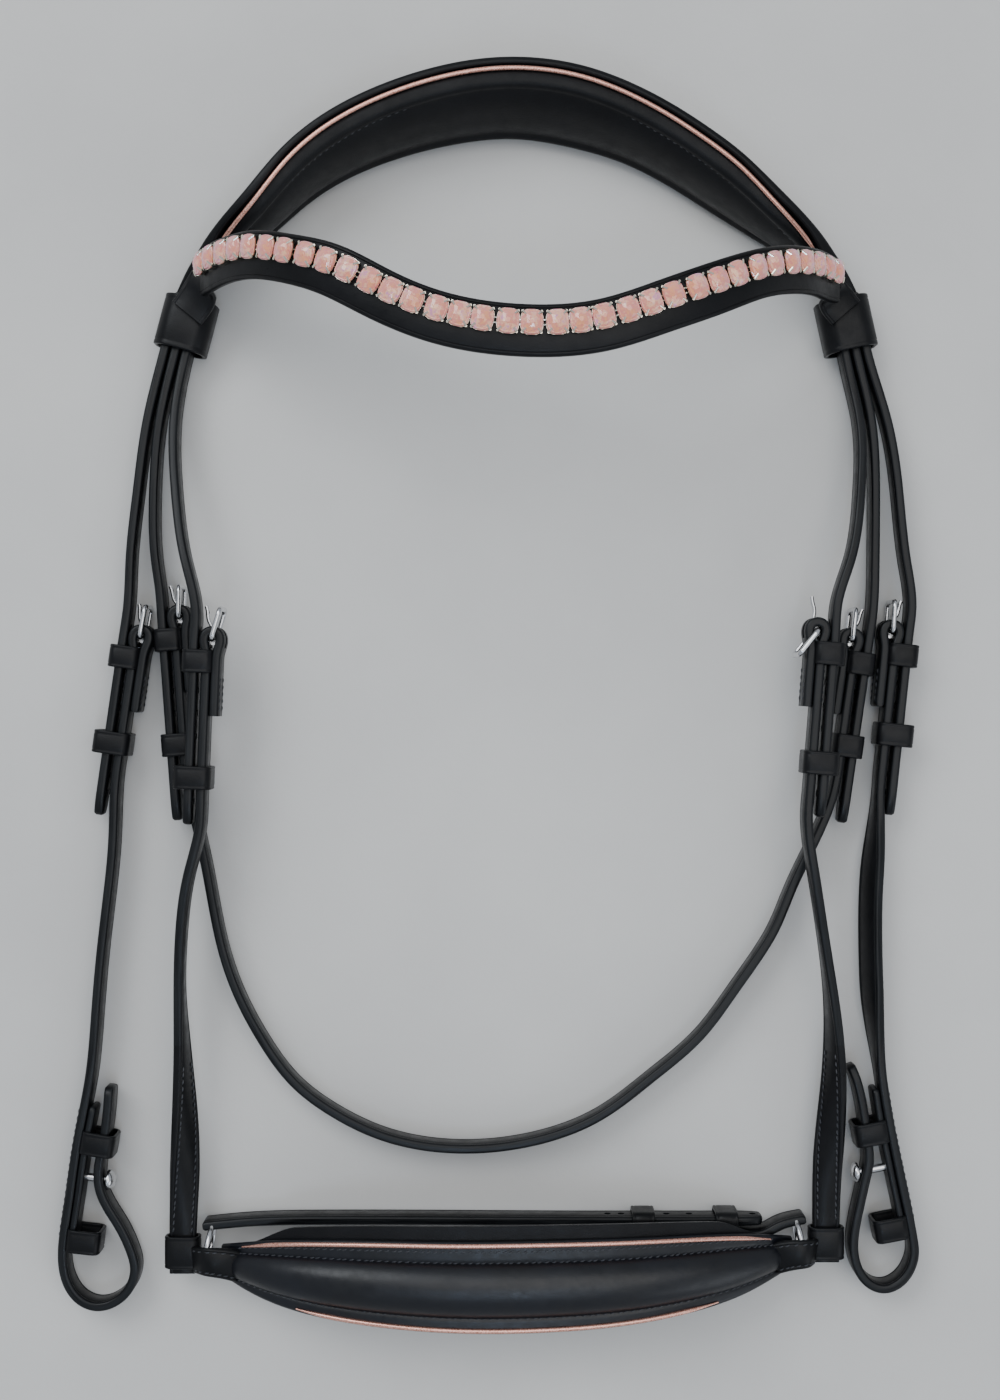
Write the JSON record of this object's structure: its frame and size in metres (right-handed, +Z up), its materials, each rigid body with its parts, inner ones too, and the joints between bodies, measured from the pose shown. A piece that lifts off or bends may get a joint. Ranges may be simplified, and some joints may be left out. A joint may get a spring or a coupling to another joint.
{
  "type": "snaffle bridle",
  "caption": "Black padded leather bridle laid out on edge, with a wave browband of pink stones, rose piping, steel buckles and bit loops.",
  "frame": {"origin": "middle of the underside of the bounding box", "axes": "+X across the bridle to the viewer's right with the noseband nearest, +Y from the noseband to the crown, +Z up from the surface that it lies on"},
  "size_m": [0.378, 0.5436, 0.0984],
  "materials": {
    "bridle_leather": "smooth, lightly waxed, black",
    "padding_leather": "soft black padding leather",
    "piping": "rose metallic leather cord",
    "steel": "polished stainless steel",
    "setting_metal": "bright plated cup chain",
    "stones": "faceted, iridescent peach pink"
  },
  "bodies": {
    "headstall": {"billet_cheek_left": "bridle_leather", "billet_cheek_right": "bridle_leather", "billet_noseband_left": "bridle_leather", "billet_noseband_right": "bridle_leather", "billet_throat_left": "bridle_leather", "billet_throat_right": "bridle_leather", "browband_leather": "bridle_leather", "browband_loop_left": "bridle_leather", "browband_loop_right": "bridle_leather", "browband_settings": "setting_metal", "browband_stones": "stones", "chin_strap_billet_side": "bridle_leather", "chin_strap_buckle_side": "bridle_leather", "crown_leather": "bridle_leather", "crown_padding": "padding_leather", "crown_piping": "piping", "keeper_chin": "bridle_leather", "keeper_nose_left": "bridle_leather", "keeper_nose_right": "bridle_leather", "keeper_throat_left": "bridle_leather", "keeper_throat_right": "bridle_leather", "noseband_end_loop_left": "bridle_leather", "noseband_end_loop_right": "bridle_leather", "noseband_hanger_left": "bridle_leather", "noseband_hanger_right": "bridle_leather", "noseband_leather": "bridle_leather", "noseband_padding": "padding_leather", "noseband_piping": "piping", "throatlash_strap": "bridle_leather"},
    "cheek_left": {"cheekpiece_left": "bridle_leather", "bit_keepers_left": "bridle_leather", "hook_stud_left": "steel", "keeper_cheek_left": "bridle_leather"},
    "cheek_right": {"cheekpiece_right": "bridle_leather", "bit_keepers_right": "bridle_leather", "hook_stud_right": "steel", "keeper_cheek_right": "bridle_leather"},
    "frame_cheek_left": {"frame_cheek_left": "steel"},
    "tongue_cheek_left": {"tongue_cheek_left": "steel"},
    "runner_cheek_left": {"runner_cheek_left": "bridle_leather"},
    "frame_throat_left": {"frame_throat_left": "steel"},
    "tongue_throat_left": {"tongue_throat_left": "steel"},
    "runner_throat_left": {"runner_throat_left": "bridle_leather"},
    "frame_nose_left": {"frame_nose_left": "steel"},
    "tongue_nose_left": {"tongue_nose_left": "steel"},
    "runner_nose_left": {"runner_nose_left": "bridle_leather"},
    "frame_nose_right": {"frame_nose_right": "steel"},
    "tongue_nose_right": {"tongue_nose_right": "steel"},
    "runner_nose_right": {"runner_nose_right": "bridle_leather"},
    "frame_throat_right": {"frame_throat_right": "steel"},
    "tongue_throat_right": {"tongue_throat_right": "steel"},
    "runner_throat_right": {"runner_throat_right": "bridle_leather"},
    "frame_cheek_right": {"frame_cheek_right": "steel"},
    "tongue_cheek_right": {"tongue_cheek_right": "steel"},
    "runner_cheek_right": {"runner_cheek_right": "bridle_leather"},
    "frame_chin": {"frame_chin": "steel"},
    "tongue_chin": {"tongue_chin": "steel"},
    "runner_chin": {"runner_chin": "bridle_leather"},
    "noseband_ring_left": {"noseband_ring_left": "steel"},
    "noseband_ring_right": {"noseband_ring_right": "steel"}
  },
  "joints": [
    {"name": "cheek_left_slide", "type": "slide", "parent": "headstall", "child": "cheek_left", "axis": [-0.1426, -0.9898, 0], "range_m": [0, 0.015]},
    {"name": "cheek_right_slide", "type": "slide", "parent": "headstall", "child": "cheek_right", "axis": [-0.1045, -0.9945, 0], "range_m": [0, 0.015]},
    {"name": "frame_cheek_left_hinge", "type": "hinge", "parent": "cheek_left", "child": "frame_cheek_left", "pos_m": [-0.15252, 0.0247, 0.0097], "axis": [0, 0, -1], "range_deg": [-3, 8]},
    {"name": "tongue_cheek_left_hinge", "type": "hinge", "parent": "cheek_left", "child": "tongue_cheek_left", "pos_m": [-0.15252, 0.0247, 0.0097], "axis": [0, 0, -1], "range_deg": [-2.5, 2.5]},
    {"name": "runner_cheek_left_slide", "type": "slide", "parent": "cheek_left", "child": "runner_cheek_left", "axis": [-0.1426, -0.9898, 0], "range_m": [-0.008, 0.008]},
    {"name": "frame_throat_left_hinge", "type": "hinge", "parent": "headstall", "child": "frame_throat_left", "pos_m": [-0.13573, 0.0335, 0.0097], "axis": [0, 0, -1], "range_deg": [-7, 139]},
    {"name": "tongue_throat_left_hinge", "type": "hinge", "parent": "headstall", "child": "tongue_throat_left", "pos_m": [-0.13573, 0.0335, 0.0097], "axis": [0, 0, -1], "range_deg": [-2.5, 2.5]},
    {"name": "runner_throat_left_slide", "type": "slide", "parent": "headstall", "child": "runner_throat_left", "axis": [0.0732, -0.9973, 0], "range_m": [-0.008, 0.003]},
    {"name": "frame_nose_left_hinge", "type": "hinge", "parent": "headstall", "child": "frame_nose_left", "pos_m": [-0.11843, 0.0232, 0.0287], "axis": [0, 0, -1], "range_deg": [-15, 131]},
    {"name": "tongue_nose_left_hinge", "type": "hinge", "parent": "headstall", "child": "tongue_nose_left", "pos_m": [-0.11843, 0.0232, 0.0287], "axis": [0, 0, -1], "range_deg": [-2.5, 2.5]},
    {"name": "runner_nose_left_slide", "type": "slide", "parent": "headstall", "child": "runner_nose_left", "axis": [-0.0401, -0.9992, 0], "range_m": [-0.008, 0.008]},
    {"name": "frame_nose_right_hinge", "type": "hinge", "parent": "headstall", "child": "frame_nose_right", "pos_m": [0.14138, 0.0271, 0.0287], "axis": [0, 0, 1], "range_deg": [-80, 2]},
    {"name": "tongue_nose_right_hinge", "type": "hinge", "parent": "headstall", "child": "tongue_nose_right", "pos_m": [0.14138, 0.0271, 0.0287], "axis": [0, 0, 1], "range_deg": [-25, 25]},
    {"name": "runner_nose_right_slide", "type": "slide", "parent": "headstall", "child": "runner_nose_right", "axis": [-0.0785, -0.9969, 0], "range_m": [-0.008, 0.008]},
    {"name": "frame_throat_right_hinge", "type": "hinge", "parent": "headstall", "child": "frame_throat_right", "pos_m": [0.15927, 0.0234, 0.0097], "axis": [0, 0, 1], "range_deg": [-3, 143]},
    {"name": "tongue_throat_right_hinge", "type": "hinge", "parent": "headstall", "child": "tongue_throat_right", "pos_m": [0.15927, 0.0234, 0.0097], "axis": [0, 0, 1], "range_deg": [-2.5, 2.5]},
    {"name": "runner_throat_right_slide", "type": "slide", "parent": "headstall", "child": "runner_throat_right", "axis": [-0.1426, -0.9898, 0], "range_m": [-0.007, 0.008]},
    {"name": "frame_cheek_right_hinge", "type": "hinge", "parent": "cheek_right", "child": "frame_cheek_right", "pos_m": [0.17697, 0.0269, 0.0097], "axis": [0, 0, 1], "range_deg": [-3, 16]},
    {"name": "tongue_cheek_right_hinge", "type": "hinge", "parent": "cheek_right", "child": "tongue_cheek_right", "pos_m": [0.17697, 0.0269, 0.0097], "axis": [0, 0, 1], "range_deg": [-2.5, 2.5]},
    {"name": "runner_cheek_right_slide", "type": "slide", "parent": "cheek_right", "child": "runner_cheek_right", "axis": [-0.1045, -0.9945, 0], "range_m": [-0.006, 0.008]},
    {"name": "frame_chin_hinge", "type": "hinge", "parent": "headstall", "child": "frame_chin", "pos_m": [0.05847, -0.2393, 0.0097], "axis": [0, 0, 1], "range_deg": [-3, 143]},
    {"name": "tongue_chin_hinge", "type": "hinge", "parent": "headstall", "child": "tongue_chin", "pos_m": [0.05847, -0.2393, 0.0097], "axis": [0, 0, 1], "range_deg": [-2.5, 2.5]},
    {"name": "runner_chin_slide", "type": "slide", "parent": "headstall", "child": "runner_chin", "axis": [1, 0, 0], "range_m": [-0.007, 0.002]},
    {"name": "ring_left_turn", "type": "hinge", "parent": "headstall", "child": "noseband_ring_left", "pos_m": [-0.12273, -0.2424, 0.0122], "axis": [0.9848, -0.1736, 0], "continuous": true},
    {"name": "ring_right_turn", "type": "hinge", "parent": "headstall", "child": "noseband_ring_right", "pos_m": [0.13658, -0.2399, 0.0122], "axis": [0.9848, 0.1736, 0], "continuous": true}
  ]
}
